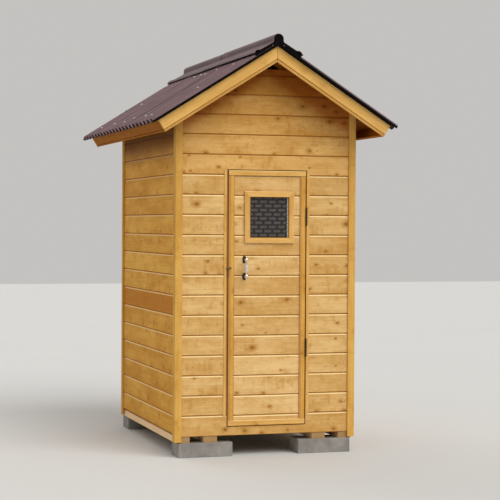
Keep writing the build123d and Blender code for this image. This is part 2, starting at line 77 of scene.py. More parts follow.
RAIL_HEIGHT = 0.038
OPENING_BASE = 0.205
OPENING_TOP = 2.005
CREST_LEVEL = 0.0363  # crest of the sheets above the roof boards
GROOVE_DEPTH = 0.075  # groove of the bargeboards below the roof boards' top
CAP_LAP = 0.054  # rear edge of the front length of the ridge cap
WAVE_COUNT = 22  # waves along one roof sheet
BLOCK_LENGTH = 0.39
BLOCK_WIDTH = 0.19

# Sizes that only the scene has, in metres
FLAT_FROM = 0.006  # chamfers wider than this are cut flatter than 45 degrees
JOINT_FLATNESS = 0.35  # part of a joint's width by which it is shallower
PEAK_TIP = 2.767  # tip of the open triangle over the top board of each gable
DOOR_DROP = 0.005  # the door's boards lie lower than the wall's by this
PUTTY_WIDTH = 0.007
PATTERN_ROW = 0.0295  # height of one row of dashes in the pane
PATTERN_PITCH = 0.068  # from one dash to the next in a row
RING_PITCH = 0.0095  # growth rings in the timber
RIB_PITCH = 0.017  # fine ribs across the roof sheets
LAP_STARTS = (-0.42, 0.44)  # front edges of the two laps on each slope
LAP_LIFT = 0.0034  # a lap's upper layer above the lower one
# Dark pieces at the roof's ends, painted shade inside the sheets' waves and fillers under the cap's
# flanges: start and stop down the slope, lower and upper level above the roof boards, and the two
# distances out past the sheet's end
SHEET_SHADE_FILLER = (0.030, 1.032, 0.0045, 0.0195, 0.0004, 0.0038)
FLANGE_FILLER = (0.037, 0.176, 0.0195, 0.0395, -0.001, -0.016)
NAIL_ROWS = (0.27, 0.60, 0.94)  # distances of the nail rows from the ridge
NAILS_MISSING = 0.6  # part of the nails that don't show
CLOSE = 1e-5  # corners nearer than this are at one level
SLACK = 1e-6  # allowance when two levels are compared

# The camera that was fitted to the photograph
CAMERA_PLACE = (-3.325, -11.3055, 1.618)
CAMERA_TURN = (17.22, -0.93, -0.34)  # yaw, pitch and roll in degrees
FOCAL_PIXELS = 1545
PHOTO_PIXELS = 500
SENSOR_WIDTH = 36


def length_setting(name, description, default):
    return bpy.props.FloatProperty(name=name, description=description, default=default,
                                   unit="LENGTH")


def count_setting(name, description, default):
    return bpy.props.IntProperty(name=name, description=description, default=default, min=1)


def colour_setting(name, description, default):
    return bpy.props.FloatVectorProperty(name=name, description=description, default=default,
                                         subtype="COLOR", size=3)


class CabinSizes(bpy.types.PropertyGroup):
    """Sizes of the boards and small fixings"""
    course: length_setting("Board Height", "Height of one wall board", 0.14)
    chamfer: length_setting("Board Chamfer", "Width of the chamfer on a wall board's lower edge",
                            0.008)
    upper_chamfer: length_setting(
        "Upper Chamfer", "Width of the chamfer on a wall board's upper edge", 0.0085)
    trim_chamfer: length_setting("Trim Chamfer", "Width of the chamfer on door and window trims",
                                 0.003)
    soffit_count: count_setting("Roof Planks", "Planks on one slope of the roof", 8)
    floor_count: count_setting("Floor Planks", "Planks in the floor", 11)
    nail_radius: length_setting("Roof Nail Radius", "Radius of a roof nail's cap", 0.0095)
    lap_width: length_setting("Sheet Lap", "Width of a lap between two roof sheets", 0.11)


class CabinColours(bpy.types.PropertyGroup):
    """Colours of the finishes"""
    honey: colour_setting("Pale Honey", "Palest stained board", (0.76, 0.485, 0.195))
    amber: colour_setting("Amber", "Middle tone of the stained boards", (0.53, 0.265, 0.060))
    rust: colour_setting("Rust", "Deepest blotches of the stain", (0.33, 0.125, 0.018))
    knot: colour_setting("Knot", "Knots in the stained boards", (0.15, 0.052, 0.010))
    sawn: colour_setting("Sawn Timber", "Unpainted sawn timber", (0.50, 0.36, 0.21))
    roof: colour_setting("Roof", "Roof sheets and ridge cap", (0.136, 0.082, 0.090))
    concrete: colour_setting("Concrete", "Foundation blocks", (0.235, 0.218, 0.20))


def sizes():
    return bpy.context.scene.cabin_sizes


def colours():
    return bpy.context.scene.cabin_colours


def pick(piece):
    """Make a piece the only selected object."""
    bpy.ops.object.select_all(action="DESELECT")
    piece.select_set(True)
    bpy.context.view_layer.objects.active = piece


def edit(piece, kind="EDGE", select="DESELECT"):
    """Go to edit mode on one piece with nothing selected, or all of it, and give its mesh."""
    pick(piece)
    bpy.ops.object.mode_set(mode="EDIT")
    bpy.ops.mesh.select_mode(type=kind)
    bpy.ops.mesh.select_all(action=select)
    return bmesh.from_edit_mesh(piece.data)


def leave():
    """Go back to object mode."""
    bpy.ops.object.mode_set(mode="OBJECT")


def select_edges(piece, test):
    """Select the edges whose two ends pass a test."""
    mesh = edit(piece)
    for edge in mesh.edges:
        if test(edge.verts[0].co, edge.verts[1].co):
            edge.select_set(True)
    bmesh.update_edit_mesh(piece.data)


def block(low, high):
    """Cube primitive drawn out between two corners."""
    low, high = Vector(low), Vector(high)
    bpy.ops.object.select_all(action="DESELECT")
    bpy.ops.mesh.primitive_cube_add(size=1, location=(low + high) / 2)
    piece = bpy.context.object
    piece.scale = high - low
    bpy.ops.object.transform_apply(location=True, rotation=True, scale=True)
    return piece


def slice_off(piece, point, normal):
    """Cut a piece by a plane and drop what lies on the normal's side."""
    edit(piece, select="SELECT")
    bpy.ops.mesh.bisect(plane_co=point, plane_no=normal, use_fill=True, clear_outer=True)
    leave()


def cut_out(piece, low, high):
    """Cut a rectangular opening in a piece."""
    cutter = block(low, high)
    pick(piece)
    cut = piece.modifiers.new("opening", "BOOLEAN")
    cut.operation = "DIFFERENCE"
    cut.object = cutter
    bpy.ops.object.modifier_apply(modifier=cut.name)
    bpy.data.objects.remove(cutter)


def place(piece, matrix):
    """Move a piece into place and leave its object at the origin."""
    pick(piece)
    piece.matrix_world = matrix
    bpy.ops.object.transform_apply(location=True, rotation=True, scale=True)


def axes(origin, along, inward):
    """Placing matrix from a board's own axes: X along it, Y into it."""
    along, inward = Vector(along).normalized(), Vector(inward).normalized()
    across = along.cross(inward)
    matrix = Matrix((along, inward, across)).transposed().to_4x4()
    matrix.translation = Vector(origin)
    return matrix


def join(name, pieces):
    """Join the parts of one piece under its name."""
    bpy.ops.object.select_all(action="DESELECT")
    for piece in pieces:
        piece.select_set(True)
    bpy.context.view_layer.objects.active = pieces[0]
    if len(pieces) > 1:
        bpy.ops.object.join()
    whole = pieces[0]
    whole.name = name
    whole.data.name = name
    return whole


def copy_of(piece):
    """Twin of a piece with a mesh of its own."""
    twin = piece.copy()
    twin.data = piece.data.copy()
    bpy.context.collection.objects.link(twin)
    return twin


def store(mesh, name, domain, values, kind="FLOAT", key="value"):
    """Keep one value for each point or face of a mesh, for its material."""
    attribute = mesh.attributes.new(name, kind, domain)
    for item, value in zip(attribute.data, values):
        setattr(item, key, value)


def grain(piece, dice, tone=None, painted_shade_sides=False):
    """Give a board its own run of the timber pattern and its own depth of stain."""
    mesh = piece.data
    shift = Vector((dice.uniform(0, 40), dice.uniform(0, 40), dice.uniform(0, 40)))
    stain = dice.uniform(0.0, 0.8) if tone is None else tone
    runs = [vertex.co + shift for vertex in mesh.vertices]
    heights = [vertex.co.z for vertex in mesh.vertices]
    middle, half = (max(heights) + min(heights)) / 2, (max(heights) - min(heights)) / 2
    upper, lower = [], []
    # Up-facing chamfers get a painted highlight. Down-facing chamfers get a dark joint line with
    # painted shade, and so do the long side faces when asked. Board ends get darker end grain.
    for face in mesh.polygons:
        sloped = 0.3 < abs(face.normal.z) < 0.95 and face.normal.y < -0.3
        ends = abs(face.normal.x) > 0.95 or painted_shade_sides and abs(face.normal.z) > 0.95
        upper.append(float(sloped and face.normal.z > 0))
        lower.append(float(ends or sloped and face.normal.z < 0))
    store(mesh, "grain", "POINT", runs, "FLOAT_VECTOR", "vector")
    store(mesh, "tone", "POINT", [stain] * len(runs))
    store(mesh, "rim", "POINT", [(height - middle) / half for height in heights])
    store(mesh, "upper", "FACE", upper)
    store(mesh, "lower", "FACE", lower)


def board(low, high, lower, upper=None):
    """One board in its own frame: X along it, outer face at its lowest Y, long edges chamfered."""
    piece = block(low, high)
    face = low[1]
    for level, width in ((low[2], lower), (high[2], lower if upper is None else upper)):
        if width:
            select_edges(piece, lambda a, b: max(a.y, b.y) < face + CLOSE
                         and max(abs(a.z - level), abs(b.z - level)) < CLOSE)
            bpy.ops.mesh.bevel(offset=width, segments=1, affect="EDGES")
            leave()
            if width >= FLAT_FROM:
                select_edges(piece, lambda a, b: max(abs(a.y - face - width),
                                                     abs(b.y - face - width)) < CLOSE
                             and max(abs(a.z - level), abs(b.z - level)) < CLOSE)
                bpy.ops.transform.translate(value=(0, -width * JOINT_FLATNESS, 0))
                leave()
    return piece


def dress(piece, material, body, slot, *nodes):
    """Finish a piece: material, body, slot (not used), and the solids that it stands for."""
    piece.data.materials.clear()
    piece.data.materials.append(material)
    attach(piece, body)
    if nodes:
        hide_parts(*nodes)


def courses(base, top):
    """Lower and upper edges of the wall boards between two levels."""
    step = sizes().course
    levels = []
    level = int((base - COURSE_BASE) / step + SLACK)
    while COURSE_BASE + level * step < top - SLACK:
        low = max(base, COURSE_BASE + level * step)
        high = min(top, COURSE_BASE + (level + 1) * step)
        levels.append((low, high))
        level += 1
    return levels


def slope_line(above, x):
    """Height at x of the line parallel to the slope, above the roof boards."""
    return RIDGE_LEVEL + above / cos(ROOF_SLOPE) - abs(x) * tan(ROOF_SLOPE)


def on_slope(along, above, side):
    """Point down the slope from the ridge, above the roof boards."""
    x = along * cos(ROOF_SLOPE) + above * sin(ROOF_SLOPE)
    z = RIDGE_LEVEL - along * sin(ROOF_SLOPE) + above * cos(ROOF_SLOPE)
    return Vector((side * x, 0, z))


class Nodes:
    """Short hand for building one material's node tree."""

    def __init__(self, name):
        self.material = bpy.data.materials.new(name)
        self.material.use_nodes = True
        self.tree = self.material.node_tree
        self.tree.nodes.clear()
        self.shader = self.tree.nodes.new("ShaderNodeBsdfPrincipled")
        output = self.tree.nodes.new("ShaderNodeOutputMaterial")
        self.link(self.shader.outputs[0], output.inputs[0])

    def link(self, source, target):
        self.tree.links.new(source, target)

    def add(self, kind, settings=None, **inputs):
        """Add a node. Its inputs go by name, or by place as i0, i1 and i2."""
        node = self.tree.nodes.new("ShaderNode" + kind)
        for key, value in (settings or {}).items():
            setattr(node, key, value)
        for key, value in inputs.items():
            socket = node.inputs[int(key[1:])] if key[0] == "i" and key[1:].isdigit() \
                else node.inputs[key.replace("_", " ")]
            if isinstance(value, bpy.types.NodeSocket):
                self.link(value, socket)
            else:
                socket.default_value = value
        return node

    def math(self, operation, first, second=0.0, third=0.0, clamp=False):
        node = self.add("Math", {"operation": operation, "use_clamp": clamp},
                        i0=first, i1=second, i2=third)
        return node.outputs[0]

    def times(self, first, second):
        return self.math("MULTIPLY", first, second)

    def ramp(self, value, low, high, out_low=0.0, out_high=1.0, smooth=True):
        node = self.add("MapRange", {"interpolation_type": "SMOOTHSTEP" if smooth else "LINEAR"},
                        Value=value, From_Min=low, From_Max=high, To_Min=out_low, To_Max=out_high)
        return node.outputs[0]

    def blend(self, amount, first, second, kind="MIX"):
        node = self.tree.nodes.new("ShaderNodeMix")
        node.data_type = "RGBA"
        node.blend_type = kind
        for socket, value in ((node.inputs[0], amount), (node.inputs[6], first),
                              (node.inputs[7], second)):
            if isinstance(value, bpy.types.NodeSocket):
                self.link(value, socket)
            elif isinstance(value, float):
                socket.default_value = value
            else:
                socket.default_value = (*value, 1.0)
        return node.outputs[2]

    def layer(self, colour, other, mask, amount):
        """Lay another colour over the first, by a mask and an amount."""
        return self.blend(self.times(mask, amount), colour, other)

    def here(self, output="Object"):
        return self.add("TexCoord").outputs[output]

    def split(self, vector):
        return self.add("SeparateXYZ", Vector=vector).outputs

    def scaled(self, vector, scale):
        return self.add("Mapping", Vector=vector, Scale=scale).outputs[0]

    def noise(self, vector, scale, detail=2.0, roughness=0.5, stretch=(1, 1, 1)):
        where = self.scaled(vector, stretch)
        return self.add("TexNoise", Vector=where, Scale=scale, Detail=detail,
                        Roughness=roughness).outputs[0]

    def bump(self, height, strength, distance):
        node = self.add("Bump", Height=height, Strength=strength, Distance=distance)
        self.link(node.outputs[0], self.shader.inputs["Normal"])

    def put(self, name, value):
        socket = self.shader.inputs[name]
        if isinstance(value, bpy.types.NodeSocket):
            self.link(value, socket)
        else:
            socket.default_value = value


def timber(name, pale, middle, deep, knot, turn=None, tone=0.5, knots=1.0, figure=1.0,
           roughness=0.58, marks=None, painted_highlight=0.7):
    """Timber whose grain follows a board's own attribute, or runs along X after a turn."""
    n = Nodes(name)
    if turn is None:
        run = n.add("Attribute", {"attribute_name": "grain"}).outputs["Vector"]
        depth = n.add("Attribute", {"attribute_name": "tone"}).outputs["Fac"]
    else:
        run = n.add("Mapping", Vector=n.here(), Rotation=turn).outputs[0]
        depth = tone

    # Knots, one to a cell in most cells; on boards they run straight through
    parts = n.split(run)
    wander = n.noise(run, 3.0, 2.0, 0.5, (1.0, 2.5, 2.5))
    flat = n.add("CombineXYZ", X=parts[0], Y=parts[2]).outputs[0]

    def spots(size_x, size_y, size_z):
        if turn is None:
            node = n.add("TexVoronoi", {"voronoi_dimensions": "2D"}, Scale=1.0,
                         Vector=n.scaled(flat, (size_x, size_z, 1.0)))
        else:
            node = n.add("TexVoronoi", Scale=1.0, Vector=n.scaled(run, (size_x, size_y, size_z)))
        chance = n.add("SeparateColor", Color=node.outputs["Color"])
        return node.outputs["Distance"], chance

    distance, chance = spots(5.6, 2.0, 8.0)
    size = n.math("MULTIPLY_ADD", chance.outputs[0], 0.055, 0.024)
    there = n.ramp(chance.outputs[1], 0.46, 0.50)
    ragged = n.noise(run, 1.0, 3.0, 0.7, (60.0, 60.0, 90.0))
    reach = n.math("MULTIPLY_ADD", ragged, 1.0,
                   n.math("SUBTRACT", n.math("DIVIDE", distance, size), 0.5))
    core = n.times(n.ramp(reach, 1.2, 0.4), there)
    halo = n.times(n.ramp(reach, 5.0, 0.6), there)
    pin_distance, pin_chance = spots(15.0, 5.0, 23.0)
    pin = n.times(n.ramp(pin_distance, 0.09, 0.04), n.ramp(pin_chance.outputs[0], 0.84, 0.87))

    # Growth rings that bend round the knots
    level = n.math("MULTIPLY_ADD", wander, 0.11, parts[2])
    level = n.math("MULTIPLY_ADD", parts[1], 0.6, level)
    level = n.math("MULTIPLY_ADD", halo, 0.014, level)
    rings = n.ramp(n.math("SINE", n.times(level, 2 * pi / RING_PITCH)), -0.2, 1.0)
    streak = n.noise(run, 1.0, 4.0, 0.6, (2.2, 110.0, 110.0))
    broad = n.noise(run, 1.0, 3.0, 0.55, (2.4, 8.0, 9.0))
    blotch = n.noise(run, 1.0, 5.0, 0.65, (9.0, 14.0, 17.0))
    cloud = n.noise(run, 1.0, 4.0, 0.6, (4.0, 9.0, 11.0))
    mottle = n.noise(run, 1.0, 4.0, 0.6, (20.0, 34.0, 40.0))
    flame = n.noise(run, 1.0, 3.0, 0.65, (30.0, 12.0, 9.0))

    shade = n.math("MULTIPLY_ADD", n.ramp(broad, 0.3, 0.7), 0.55,
                   n.math("MULTIPLY_ADD", depth, 0.8, -0.3))
    colour = n.blend(n.math("ADD", shade, 0.0, clamp=True), pale, middle)
    colour = n.layer(colour, deep, rings, 0.15)
    colour = n.layer(colour, deep, n.ramp(streak, 0.45, 0.75), 0.26)
    colour = n.layer(colour, middle, n.ramp(cloud, 0.46, 0.66), 0.40 * figure)
    colour = n.layer(colour, deep, n.ramp(blotch, 0.56, 0.74), 0.25 * figure)
    colour = n.layer(colour, deep, n.ramp(mottle, 0.50, 0.64), 0.08 * figure)
    colour = n.layer(colour, Vector(pale) * 1.15, n.ramp(mottle, 0.50, 0.38), 0.12 * figure)
    warm = Vector(middle) * 0.5 + Vector(deep) * 0.5
    licks = n.times(n.ramp(flame, 0.49, 0.66), n.ramp(cloud, 0.42, 0.58))
    colour = n.layer(colour, warm, licks, 0.42 * figure)
    spread = n.times(halo, n.ramp(blotch, 0.34, 0.54))
    colour = n.layer(colour, warm, spread, 0.85 * knots)
    near = n.times(n.ramp(reach, 2.6, 0.8), there)
    colour = n.layer(colour, deep, near, 0.34 * knots)
    if turn is None:
        colour = n.blend(n.ramp(depth, 1.0, 1.5, 0.0, 0.48), colour, Vector(deep) * 1.35)
    colour = n.layer(colour, knot, core, 0.64 * knots)
    colour = n.layer(colour, knot, pin, 0.6 * knots)
    if turn is None:
        rim = n.math("ABSOLUTE", n.add("Attribute", {"attribute_name": "rim"}).outputs["Fac"])
        gather = n.times(n.ramp(rim, 0.45, 1.0), n.ramp(cloud, 0.35, 0.65))
        colour = n.layer(colour, middle, gather, 0.45)
        lower = n.add("Attribute", {"attribute_name": "lower"}).outputs["Fac"]
        upper = n.add("Attribute", {"attribute_name": "upper"}).outputs["Fac"]
        # Faces flagged lower: darker end grain on board ends, and a dark joint line with painted
        # shade on the down-facing chamfers and the stiles' side faces
        colour = n.layer(colour, Vector(deep) * 0.95, lower, 0.88)
        # Faces flagged upper: painted highlight on the up-facing chamfers
        painted_highlight_colour = Vector(pale) * 0.45 + Vector((0.56, 0.47, 0.27))
        colour = n.layer(colour, painted_highlight_colour, upper, painted_highlight)
    if marks:
        colour = marks(n, colour, deep)
    n.put("Base Color", colour)
    n.put("Roughness", n.ramp(streak, 0.2, 0.8, roughness - 0.06, roughness + 0.1, False))
    n.put("Specular IOR Level", 0.03)
    height = n.math("MULTIPLY_ADD", rings, -0.35, n.times(streak, 0.6))
    n.bump(n.math("MULTIPLY_ADD", core, -0.5, height), 0.35, 0.0008)
    return n.material


# Painted shade: the side, far, gable, fascia and soffit tints make deeper, more saturated copies of
# the stain for timber out of the light. They are used on the left wall, more mildly on the right and
# rear walls, on the front gable under the overhang, and on the fascias, roof planks and rafters under
# the roof.
SIDE_PAINTED_SHADE_TINT = (1.05, 0.91, 0.42)
FAR_PAINTED_SHADE_TINT = (1.05, 0.93, 0.60)
GABLE_PAINTED_SHADE_TINT = (0.94, 0.89, 0.75)
RAIL_TINT = (0.98, 0.93, 0.74)
STILE_TINT = (0.93, 0.83, 0.52)
POST_TINT = (0.90, 0.83, 0.51)
BARGE_TINT = (1.00, 0.96, 0.74)
FASCIA_PAINTED_SHADE_TINT = (0.53, 0.30, 0.015)
SOFFIT_PAINTED_SHADE_TINT = (0.50, 0.31, 0.09)
RUN_X = (0.0, 0.0, 0.0)
RUN_Y = (0.0, 0.0, -pi / 2)
RUN_Z = (0.0, pi / 2, 0.0)


def stained(name, turn=None, tone=0.5, knots=1.0, tint=(1, 1, 1), figure=1.0, marks=None,
            painted_highlight=0.7):
    """Timber in the cabin's honey stain, multiplied by a tint; some tints are painted shade."""
    c = colours()
    dye = [Vector(colour) * Vector(tint) for colour in (c.honey, c.amber, c.rust)]
    return timber(name, *dye, c.knot, turn, tone, knots, figure, marks=marks, painted_highlight=painted_highlight)


def painted_eave_shade(reach, full, shade):
    """Painted shade: darker and more saturated right under the roof, where the roof's shadow falls.
    """
    def marks(n, colour, deep):
        parts = n.split(n.here())
        out = n.math("ABSOLUTE", parts[0])
        height = n.math("MULTIPLY_ADD", out, tan(ROOF_SLOPE), parts[2])
        below = n.math("SUBTRACT", RIDGE_LEVEL, height)
        return n.blend(n.ramp(below, reach, full), colour, shade, "MULTIPLY")
    return marks


# Painted shade under the eaves of the side walls, and under the bargeboards of the gables
EAVES_PAINTED_SHADE = painted_eave_shade(0.42, 0.21, (0.34, 0.255, 0.25))
GABLE_PAINTED_SHADE = painted_eave_shade(0.25, 0.14, (0.66, 0.43, 0.27))


def bargeboard_mitre_and_painted_shade(n, colour, deep):
    """Dark line at the mitre at the peak, and painted shade along the groove and along a second line
    just below it on the lower edge.
    """
    parts = n.split(n.here())
    out = n.math("ABSOLUTE", parts[0])
    fall = n.times(out, sin(ROOF_SLOPE))
    above = n.math("MULTIPLY_ADD", n.math("SUBTRACT", parts[2], RIDGE_LEVEL),
                   cos(ROOF_SLOPE), fall)
    # Painted shade in the groove and on a line just below it
    groove = n.ramp(n.math("ABSOLUTE", n.math("ADD", above, GROOVE_DEPTH)), 0.0045, 0.0025)
    bead = n.ramp(n.math("ABSOLUTE", n.math("ADD", above, GROOVE_DEPTH + 0.0095)), 0.003, 0.001)
    colour = n.layer(colour, deep, n.ramp(out, 0.004, 0.0015), 0.75)
    colour = n.layer(colour, deep, bead, 0.85)
    return n.layer(colour, deep, groove, 0.6)


def casing_edge_painted_shade(n, colour, deep):
    """Painted shade along the inner edge of the left casing, beside the door gap."""
    parts = n.split(n.here())
    away = n.math("ABSOLUTE", n.math("SUBTRACT", parts[0], OPENING_LEFT))
    return n.layer(colour, deep * 0.6, n.ramp(away, 0.013, 0.005), 0.8)


def stile_edge(n, colour, deep):
    """Darker along the left edge of each stile."""
    across = n.split(n.here())[0]
    left = n.ramp(across, STILE_LOW.x + 0.026, STILE_LOW.x + 0.004)
    inner = STILE_HIGH.x - STILE_WIDTH
    right = n.times(n.ramp(across, inner + 0.018, inner + 0.004), n.ramp(across, 0.0, 0.01))
    return n.layer(colour, deep, n.math("MAXIMUM", left, right), 0.38)


def end_grain(n, colour, deep):
    """Darker ends on timbers that run from front to rear."""
    facing = n.split(n.here("Normal"))[1]
    amount = n.ramp(n.math("ABSOLUTE", facing), 0.6, 0.9)
    return n.blend(amount, colour, (0.42, 0.36, 0.28), "MULTIPLY")


def sawn(name, turn=None, bright=1.0, marks=None):
    """Unpainted timber, rougher and paler than the stained boards."""
    pale = Vector(colours().sawn) * bright
    return timber(name, pale * 1.12, pale * 0.86, pale * Vector((0.62, 0.5, 0.4)),
                  pale * Vector((0.34, 0.24, 0.18)), turn, tone=0.4, knots=0.8, figure=0.6,
                  roughness=0.75, marks=marks)


def roof_felt(name, side_turn, lap=None):
    """Bitumen sheet with fine ribs across it, stains, dust, painted shadow beside a lap,
    and a near-black underside: dark bitumen, and painted shade under the sheets.
    """
    n = Nodes(name)
    here = n.here()
    run = n.add("Mapping", Vector=here, Rotation=side_turn).outputs[0]
    parts = n.split(run)
    ribs = n.math("SINE", n.times(parts[0], 2 * pi / RIB_PITCH))
    grit = n.noise(here, 420.0, 2.0, 0.6)
    cloud = n.noise(run, 1.0, 4.0, 0.6, (3.0, 7.0, 7.0))
    runs = n.noise(run, 1.0, 3.0, 0.6, (1.3, 26.0, 26.0))
    dust = n.noise(here, 75.0, 3.0, 0.6)
    base = Vector(colours().roof) * (1.08 if lap is None else 1.0)
    colour = n.blend(n.ramp(cloud, 0.3, 0.75), base * 0.86, base * 1.35)
    colour = n.layer(colour, base * 2.1, n.ramp(runs, 0.58, 0.8), 0.35)
    colour = n.layer(colour, base * 2.3, n.ramp(grit, 0.55, 0.8), 0.25)
    colour = n.layer(colour, (0.42, 0.37, 0.34), n.ramp(dust, 0.66, 0.74), 0.5)
    colour = n.blend(n.ramp(ribs, -0.2, 0.8, 0.0, 0.42), colour, base * 0.45)
    along = n.split(here)[1]
    if lap is not None:
        # Painted shadow on the lower layer, beside the edge of the lap
        line = n.times(n.ramp(along, lap - 0.001, lap + 0.004),
                       n.ramp(along, lap + 0.060, lap + 0.030))
        chipped = n.times(n.ramp(along, lap - 0.30, lap - 0.05),
                          n.ramp(along, lap + 0.004, lap - 0.004))
        chips = n.times(chipped, n.ramp(n.noise(here, 34.0, 2.0, 0.5), 0.58, 0.66))
        colour = n.layer(colour, base * 0.15, line, 0.8)
        colour = n.layer(colour, (0.34, 0.29, 0.27), chips, 0.5)
    # Down-facing faces near-black: the dark bitumen underside, and painted shade under the sheets'
    # edges
    facing = n.split(n.here("Normal"))[2]
    colour = n.blend(n.ramp(facing, -0.05, -0.3), colour, (0.042, 0.030, 0.028))
    n.put("Base Color", colour)
    n.put("Roughness", n.ramp(grit, 0.3, 0.7, 0.62, 0.82, False))
    n.put("Specular IOR Level", 0.22)
    height = n.math("MULTIPLY_ADD", grit, 0.35, n.times(ribs, -0.35))
    n.bump(height, 0.5, 0.001)
    return n.material


def cast_concrete(name):
    """Cast block: cloudy grey with pores and pale dust."""
    n = Nodes(name)
    here = n.here()
    base = Vector(colours().concrete)
    cloud = n.noise(here, 7.0, 5.0, 0.6)
    fine = n.noise(here, 160.0, 4.0, 0.65)
    pores = n.add("TexVoronoi", Vector=here, Scale=95.0).outputs["Distance"]
    pits = n.ramp(pores, 0.22, 0.10)
    colour = n.blend(n.ramp(cloud, 0.3, 0.7), base * 0.78, base * 1.3)
    colour = n.layer(colour, base * 1.9, n.ramp(fine, 0.5, 0.8), 0.35)
    colour = n.layer(colour, base * 0.4, pits, 0.6)
    n.put("Base Color", colour)
    n.put("Roughness", n.ramp(fine, 0.2, 0.8, 0.8, 0.95, False))
    n.bump(n.math("MULTIPLY_ADD", pits, -0.8, fine), 0.6, 0.002)
    return n.material


def metal(name, colour, metallic, roughness, worn, amount, scale=60.0):
    """Metal or painted metal that is worn in places, with uneven gloss."""
    n = Nodes(name)
    here = n.here()
    wear = n.noise(here, scale, 4.0, 0.6)
    n.put("Base Color", n.layer(colour, worn, n.ramp(wear, 0.45, 0.7), amount))
    n.put("Metallic", metallic)
    n.put("Roughness", n.ramp(wear, 0.3, 0.7, roughness * 0.85, roughness * 1.2, False))
    n.bump(n.noise(here, scale * 6, 3.0), 0.12, 0.0005)
    return n.material


def patterned_glass(name):
    """Dark pane with staggered grey dashes pressed in rows."""
    n = Nodes(name)
    here = n.here()
    parts = n.split(here)
    row = n.math("DIVIDE", n.math("SUBTRACT", parts[2], PANE_LOW.z), PATTERN_ROW)
    row_number = n.math("FLOOR", row)
    in_row = n.math("ABSOLUTE", n.math("SUBTRACT", n.math("FRACT", row), 0.5))
    offset = n.times(n.math("MODULO", row_number, 2.0), 0.5)
    step = n.math("ADD", n.math("DIVIDE", n.math("SUBTRACT", parts[0], PANE_LOW.x),
                                PATTERN_PITCH), offset)
    in_step = n.math("ABSOLUTE", n.math("SUBTRACT", n.math("FRACT", step), 0.5))
    dash = n.times(n.ramp(in_row, 0.32, 0.22), n.ramp(in_step, 0.40, 0.33))
    speck = n.noise(here, 110.0, 3.0)
    colour = n.blend(n.ramp(speck, 0.3, 0.7), (0.014, 0.012, 0.011), (0.030, 0.026, 0.023))
    grey = n.blend(n.ramp(speck, 0.3, 0.7), (0.036, 0.033, 0.031), (0.098, 0.092, 0.087))
    colour = n.blend(dash, colour, grey)
    n.put("Base Color", colour)
    n.put("Roughness", n.math("MULTIPLY_ADD", dash, 0.15, 0.25))
    n.put("Specular IOR Level", 0.3)
    n.bump(n.math("MULTIPLY_ADD", speck, 0.2, dash), 0.5, 0.001)
    return n.material


def glazing_putty(name):
    """Pale putty with darker ticks down its length."""
    n = Nodes(name)
    here = n.here()
    level = n.split(here)[2]
    tick = n.ramp(n.math("SINE", n.times(level, 2 * pi / PATTERN_ROW)), 0.55, 0.9)
    mottle = n.noise(here, 120.0, 3.0)
    colour = n.blend(n.ramp(mottle, 0.3, 0.7), (0.52, 0.51, 0.46), (0.66, 0.65, 0.60))
    n.put("Base Color", n.layer(colour, (0.14, 0.13, 0.11), tick, 0.6))
    n.put("Roughness", n.ramp(mottle, 0.2, 0.8, 0.5, 0.7, False))
    n.bump(mottle, 0.3, 0.0006)
    return n.material


def cream_plastic(name):
    """Cream plastic, faintly cloudy."""
    n = Nodes(name)
    here = n.here()
    mottle = n.noise(here, 45.0, 4.0, 0.6)
    n.put("Base Color", n.blend(n.ramp(mottle, 0.3, 0.7), (0.52, 0.47, 0.39), (0.64, 0.60, 0.52)))
    n.put("Roughness", n.ramp(mottle, 0.2, 0.8, 0.38, 0.52, False))
    n.put("Subsurface Weight", 0.05)
    n.bump(n.noise(here, 400.0, 3.0), 0.15, 0.0004)
    return n.material


def foam(name):
    """Black foam with open cells."""
    n = Nodes(name)
    cells = n.noise(n.here(), 240.0, 4.0, 0.7)
    n.put("Base Color", n.blend(n.ramp(cells, 0.3, 0.7), (0.002, 0.002, 0.002),
                                (0.007, 0.006, 0.006)))
    n.put("Roughness", n.ramp(cells, 0.3, 0.7, 0.85, 0.98, False))
    n.put("Specular IOR Level", 0.04)
    n.bump(cells, 0.6, 0.0015)
    return n.material


def floor_paint(name):
    """Pale matt paint with a faint cloud."""
    n = Nodes(name)
    tint = n.noise(n.here(), 0.6, 3.0)
    n.put("Base Color", n.blend(tint, (0.54, 0.54, 0.53), (0.57, 0.57, 0.56)))
    n.put("Roughness", 0.85)
    return n.material


